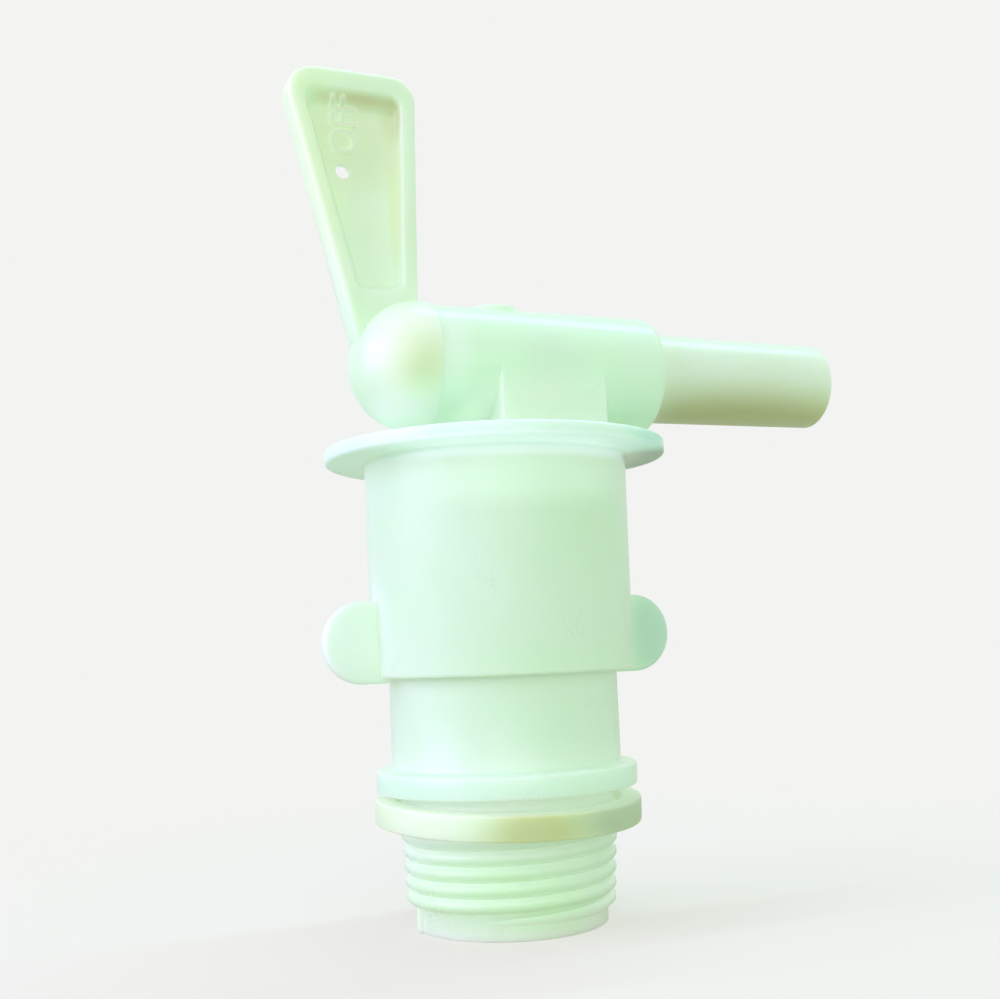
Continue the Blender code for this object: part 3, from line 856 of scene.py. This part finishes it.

# each plastic's colours. Every patch is soft round its centre, in millimetres. Most patches in the
# stains lists are painted light and painted shade: paler where the lamps light, darker where shade
# falls; a few are tone where the moulding is thicker. lit lists patches of painted glow, and hollow is
# painted light, a paler colour put into grooves and corners where shade falls
plastics = {
    "bodyPlastic": {
        "lit": [
            # painted glow beside the pedestal's left side
            {"centre": (-5, -6, 61.5), "reach": (3.4, 7, 3.5), "core": 0.1,
             "strength": 0.4, "colour": (0.70, 0.90, 0.75, 1)},
            # painted glow on the drum's top, in the shade under the upper flange
            {"centre": (-3, -15, 53.5), "reach": (22, 12, 5), "core": 0.2,
             "strength": 0.35, "colour": (0.85, 0.95, 1.0, 1)},
            # painted glow on the upper flange's underside, for light coming through the flange
            {"centre": (-3, -15, 56.6), "reach": (24, 13, 1.5), "core": 0.4,
             "strength": 0.9, "colour": (0.74, 0.70, 1.0, 1)},
        ],
        # hollow below is painted light, a paler colour for grooves and corners where shade falls
        "pale": (0.66, 0.94, 0.70, 1), "deep": (0.63, 0.92, 0.65, 1), "paintedGrooveLight": (0.78, 0.90, 0.77, 1),
        "rough": 0.27, "radius": (1.0, 1.0, 0.8), "grain": 0.05,
        "paintedLightShadeAndTone": [
            # painted highlight: the upper flange bluer and paler, as if lit from above
            {"centre": (0, 0, 57.9), "reach": (60, 60, 2.6), "core": 0.4,
             "strength": 0.9, "colour": (0.66, 0.99, 0.79, 1)},
            # painted highlight: the lower flange bluer and paler, as if lit from above
            {"centre": (0, 0, 17.6), "reach": (60, 60, 2.4), "core": 0.4,
             "strength": 0.8, "colour": (0.66, 0.97, 0.74, 1)},
            # painted light: paler in the shaded gap between the lower flange and the washer
            {"centre": (0, 0, 15.3), "reach": (60, 60, 1.1), "core": 0.3,
             "strength": 0.9, "colour": (0.86, 0.98, 0.86, 1)},
            # painted light: the left ear paler, on the side the lamps light
            {"centre": (-22, 0, 34.7), "reach": (10, 8, 10), "core": 0.3,
             "strength": 0.9, "colour": (0.74, 1.0, 0.82, 1)},
            # painted shade: the right ear darker, on the side away from the lamps
            {"centre": (22, 0, 34.7), "reach": (8, 8, 10), "core": 0.3,
             "strength": 0.9, "colour": (0.48, 0.72, 0.58, 1)},
            # painted light: paler beside the pedestal's left side, where shade falls under the barrel
            {"centre": (-3.5, -6, 61), "reach": (5, 8, 6), "core": 0.2,
             "strength": 0.8, "colour": (0.72, 1.0, 0.76, 1)},
            # painted shade: darker on the pedestal's left front edge, dimming its highlight
            {"centre": (-1.9, -4, 61.5), "reach": (0.9, 8, 6), "core": 0.5,
             "strength": 0.95, "colour": (0.50, 0.74, 0.53, 1)},
            # painted light: the pilot's left front brighter and greener
            {"centre": (-6, -6, 3), "reach": (14, 14, 9), "core": 0.6,
             "strength": 0.85, "colour": (0.59, 0.99, 0.56, 1)},
            # painted light: the pilot's right front paler
            {"centre": (11, -8, 1), "reach": (9, 9, 5), "core": 0.4,
             "strength": 0.85, "colour": (0.74, 1.0, 0.74, 1)},
            # darker and yellower below the barrel's front, over the pedestal
            {"centre": (3, -7, 62.5), "reach": (19, 8, 7), "core": 0.3,
             "strength": 0.8, "colour": (0.72, 0.86, 0.69, 1)},
            # painted shade: the lower flange's left side toned down where the lamps light it most
            {"centre": (-15, -4, 17.6), "reach": (9, 10, 3), "core": 0.3,
             "strength": 0.9, "colour": (0.61, 0.95, 0.68, 1)},
            # paler at the barrel's near end, beside the key's head
            {"centre": (-9, -6, 69), "reach": (5, 9, 9), "core": 0.2,
             "strength": 0.8, "colour": (0.74, 1.0, 0.78, 1)},
            # painted shade: the upper flange's right front darker
            {"centre": (14, -15, 58), "reach": (10, 10, 2.4), "core": 0.3,
             "strength": 0.9, "colour": (0.46, 0.80, 0.66, 1)},
            # painted shade: the underside of the upper flange's right side dark
            {"centre": (19, -6, 56.4), "reach": (9, 13, 1.9), "core": 0.5,
             "strength": 0.9, "colour": (0.28, 0.41, 0.30, 1)},
        ],
    },
    "keyPlastic": {
        "lit": [],
        # hollow below is painted light, a paler colour for grooves and corners where shade falls
        "pale": (0.69, 0.90, 0.70, 1), "deep": (0.67, 0.87, 0.65, 1), "paintedGrooveLight": (0.76, 0.92, 0.74, 1),
        "rough": 0.29, "radius": (1.0, 1.0, 0.7), "grain": 0.05,
        "paintedLightShadeAndTone": [
            # yellower along the lever's back edge
            {"centre": (-25, 0, 94), "reach": (8, 6, 30), "core": 0.4,
             "strength": 0.8, "colour": (0.69, 0.91, 0.61, 1)},
            # greener and darker round the head's end and the lever's foot
            {"centre": (-20, 2, 70), "reach": (9, 9, 11), "core": 0.4,
             "strength": 0.9, "colour": (0.62, 0.93, 0.62, 1)},
            # painted light: the head's front paler, where the lamps light it
            {"centre": (-12, -7, 69), "reach": (8, 8, 10), "core": 0.3,
             "strength": 0.9, "colour": (0.80, 0.98, 0.76, 1)},
            # darker, yellower spot where the head's end is thickest
            {"centre": (-12.1, -8.0, 67.8), "reach": (5.2, 5.2, 6.0), "core": 0.0,
             "strength": 0.75, "colour": (0.60, 0.76, 0.44, 1)},
            # painted shade: the spout's underside dark olive
            {"centre": (38, -2, 62.3), "reach": (40, 9, 8.5), "core": 0.25,
             "strength": 0.92, "colour": (0.445, 0.49, 0.22, 1)},
            # painted shade: cream olive on the recess's slope under its top edge
            {"centre": (-17, -1.0, 104.0), "reach": (10, 1.15, 3.2), "core": 0.3,
             "strength": 0.9, "colour": (0.54, 0.54, 0.20, 1)},
            # painted shade: cream on the recess's front slope
            {"centre": (-12.2, -0.9, 94), "reach": (1.8, 1.3, 18), "core": 0.4,
             "strength": 0.9, "colour": (0.70, 0.84, 0.50, 1)},
            # painted shade: darker cream in the recess's upper front corner
            {"centre": (-12.4, -0.9, 101.5), "reach": (2.6, 1.3, 5), "core": 0.4,
             "strength": 0.9, "colour": (0.54, 0.62, 0.28, 1)},
            # painted shade: yellower over the recess's floor
            {"centre": (-17, -0.6, 98), "reach": (9, 1.3, 9), "core": 0.4,
             "strength": 0.7, "colour": (0.64, 0.78, 0.53, 1)},
            # painted light: the head's lower front paler
            {"centre": (-14, -4, 60.5), "reach": (9, 9, 5.5), "core": 0.2,
             "strength": 0.9, "colour": (0.92, 1.0, 0.92, 1)},
        ],
    },
    "washerPlastic": {
        "lit": [],
        # hollow below is painted light, a paler colour for grooves and corners where shade falls
        "pale": (0.66, 0.89, 0.60, 1), "deep": (0.62, 0.85, 0.54, 1), "paintedGrooveLight": (0.77, 0.88, 0.74, 1),
        "rough": 0.45, "radius": (1.0, 0.95, 0.6), "grain": 0.05,
        "paintedLightShadeAndTone": [
            # the washer's front olive patch: partly tone of the moulding, partly painted shade
            {"centre": (-3.6, -16, 12.9), "reach": (9.5, 9, 5), "core": 0.25,
             "strength": 0.9, "colour": (0.53, 0.64, 0.30, 1)},
            # painted shade: the washer's right front darker
            {"centre": (9, -12, 14), "reach": (11, 12, 6), "core": 0.4,
             "strength": 0.9, "colour": (0.44, 0.60, 0.39, 1)},
            # painted light: the washer's left front paler
            {"centre": (-14, -9, 14.6), "reach": (12, 12, 6), "core": 0.2,
             "strength": 0.8, "colour": (0.74, 0.97, 0.70, 1)},
        ],
    },
}


# mixes one soft patch into a colour; it carries the painted light, painted shade and painted glow patches, and
# the few tone patches
def addSoftPatch(colour, place, softPatch):
    away = place
    for operation, part in (("SUBTRACT", "centre"), ("DIVIDE", "reach")):
        away = place.add("VectorMath", {"operation": operation}, {0: away, 1: Vector(softPatch[part]) * mm})
    far = place.add("VectorMath", {"operation": "LENGTH"}, {0: away}, 1)
    return ((1 - far.between(softPatch["core"], 1)) * softPatch["strength"]).mix(colour, softPatch["colour"])


def makePlastic(name):
    put, look = plasticLook, plastics[name]
    material, shader, start = newMaterial(name)
    place = start.add("TexCoord", output=3)
    cloud = start.add("TexNoise", {}, {"Vector": place, "Scale": put["cloudScale"], "Detail": put["cloudDetail"]})
    grain = start.add("TexNoise", {}, {
        "Vector": place, "Scale": put["grainScale"], "Detail": put["grainDetail"], "Roughness": put["grainSharp"],
    })
    tone = cloud.between(put["cloudFrom"], put["cloudTo"])
    colour = tone.mix(look["pale"], look["deep"])
    # patches of painted light and painted shade, and a few of tone, over the clouded colour
    for softPatch in look["paintedLightShadeAndTone"]:
        colour = addSoftPatch(colour, place, softPatch)
    # painted light: where ambient occlusion finds grooves and corners, the colour moves towards the paler hollow
    # colour and a share of painted glow is added, lifting the shade there
    clear = start.add("AmbientOcclusion", {"samples": put["hollowSamples"]}, {"Distance": put["hollowReach"]}, 1)
    paintedGrooveLight = 1 - clear
    feed(shader, "Base Color", (paintedGrooveLight * put["hollowShare"]).mix(colour, look["paintedGrooveLight"]))
    lit = (paintedGrooveLight * put["glowShare"]).mix((0, 0, 0, 1), look["paintedGrooveLight"])
    # the patches of painted glow
    for patch in look["lit"]:
        lit = addSoftPatch(lit, place, patch)
    feed(shader, "Emission Color", lit)
    shader.inputs["Emission Strength"].default_value = put["glow"]
    feed(shader, "Roughness", look["rough"] + put["grainRough"] * (grain - 0.5) + put["cloudRough"] * tone)
    bump = start.add("Bump", {}, {"Strength": look["grain"], "Distance": put["grainDepth"], "Height": grain})
    feed(shader, "Normal", bump)
    shader.inputs["Subsurface Weight"].default_value = put["scatter"]
    shader.inputs["Subsurface Radius"].default_value = look["radius"]
    shader.inputs["Subsurface Scale"].default_value = put["scatterDepth"]
    shader.inputs["IOR"].default_value = put["refraction"]
    return material


studio = {
    "paper": (0.896, 0.905, 0.888, 1),  # the photograph's plain background
    "floorColour": (0.79, 0.757, 0.674, 1),
    "floorRough": 0.9,
    "floorSize": 6,
    "dome": 0.84,
    "domeColour": (0.97, 1.0, 1.0, 1),
    "bounce": (0.61, 0.59, 0.47, 1),  # how pale the floor is for all but the camera
    "clearFrom": 0.03,  # from here to clearTo, in metres, the floor fades into the plain paper
    "clearTo": 0.16,
    "clearLeast": 0.55,  # how much of it is plain paper right under the tap; the rest takes the tap's shadow
}

lamps = [
    {"name": "window", "place": (-0.72, 0.0, 0.26), "size": (0.6, 0.6),
     "power": 4.3, "colour": (0.68, 0.48, 1)},
    {"name": "front", "place": (-0.2, -0.7, 0.2), "size": (0.6, 0.6),
     "power": 1.2, "colour": (1, 0.95, 0.85)},
    {"name": "ceiling", "place": (0.26, 0.1, 0.62), "size": (0.6, 0.02),
     "power": 1.3, "colour": (0.45, 0.88, 1), "aim": (0.26, 0.05, 0)},
]
lampAim = (0, 0, 0.055)  # the middle of the tap, for the lamps with no aim of their own


def addStudio(put):
    clearSelection()
    bpy.ops.mesh.primitive_plane_add(size=put["floorSize"])
    floor = bpy.context.object
    floor.name = "floor"
    material, shader, start = newMaterial("floorPaper")
    shader.inputs["Base Color"].default_value = put["floorColour"]
    shader.inputs["Roughness"].default_value = put["floorRough"]
    shader.inputs["Specular IOR Level"].default_value = 0
    place = start.add("TexCoord", output=3)
    away = start.add("VectorMath", {"operation": "LENGTH"}, {0: place}, 1)
    seen = start.add("LightPath")
    far = away.between(put["clearFrom"], put["clearTo"])
    clear = (put["clearLeast"] + (1 - put["clearLeast"]) * far) * seen
    plain = start.add("Emission", {}, {"Color": put["paper"], "Strength": 1})
    dim = start.add("BsdfDiffuse", {}, {"Color": put["bounce"]})
    paper = start.add("MixShader", {}, {0: seen, 1: dim, 2: Wire(start.tree, shader.outputs[0])})
    blend = start.add("MixShader", {}, {0: clear, 1: paper, 2: plain})
    output = start.tree.nodes["Material Output"]
    start.tree.links.new(blend.socket, output.inputs["Surface"])
    floor.data.materials.append(material)
    world = bpy.data.worlds.new("studio")
    world.use_nodes = True
    bpy.context.scene.world = world
    start = Wire(world.node_tree)
    rays = [start.add("LightPath", output=index) for index in (0, 3, 6)]  # camera, glossy and transmission
    shown = start.maths("MAXIMUM", start.maths("MAXIMUM", rays[0], rays[1]), rays[2])
    plain = start.add("Background", {}, {"Color": put["paper"], "Strength": 1})
    light = start.add("Background", {}, {"Color": put["domeColour"], "Strength": put["dome"]})
    blend = start.add("MixShader", {}, {0: shown, 1: light, 2: plain})
    start.tree.links.new(blend.socket, world.node_tree.nodes["World Output"].inputs["Surface"])
    for lamp in lamps:
        data = bpy.data.lights.new(lamp["name"], "AREA")
        data.shape = "RECTANGLE"
        data.size, data.size_y = lamp["size"]
        data.energy, data.color = lamp["power"], lamp["colour"]
        light = bpy.data.objects.new(lamp["name"], data)
        bpy.context.scene.collection.objects.link(light)
        light.location = lamp["place"]
        aim = Vector(lamp.get("aim", lampAim)) - light.location
        light.rotation_euler = aim.to_track_quat("-Z", "Y").to_euler()
    bpy.context.scene.view_settings.view_transform = "Standard"


addCamera(cameraPlace)
print("camera is set")
makeBody(makePlastic("bodyPlastic"))
makeKey(makePlastic("keyPlastic"))
makeWasher(makePlastic("washerPlastic"))
print("pieces are made")
addStudio(studio)
print("studio is lit")
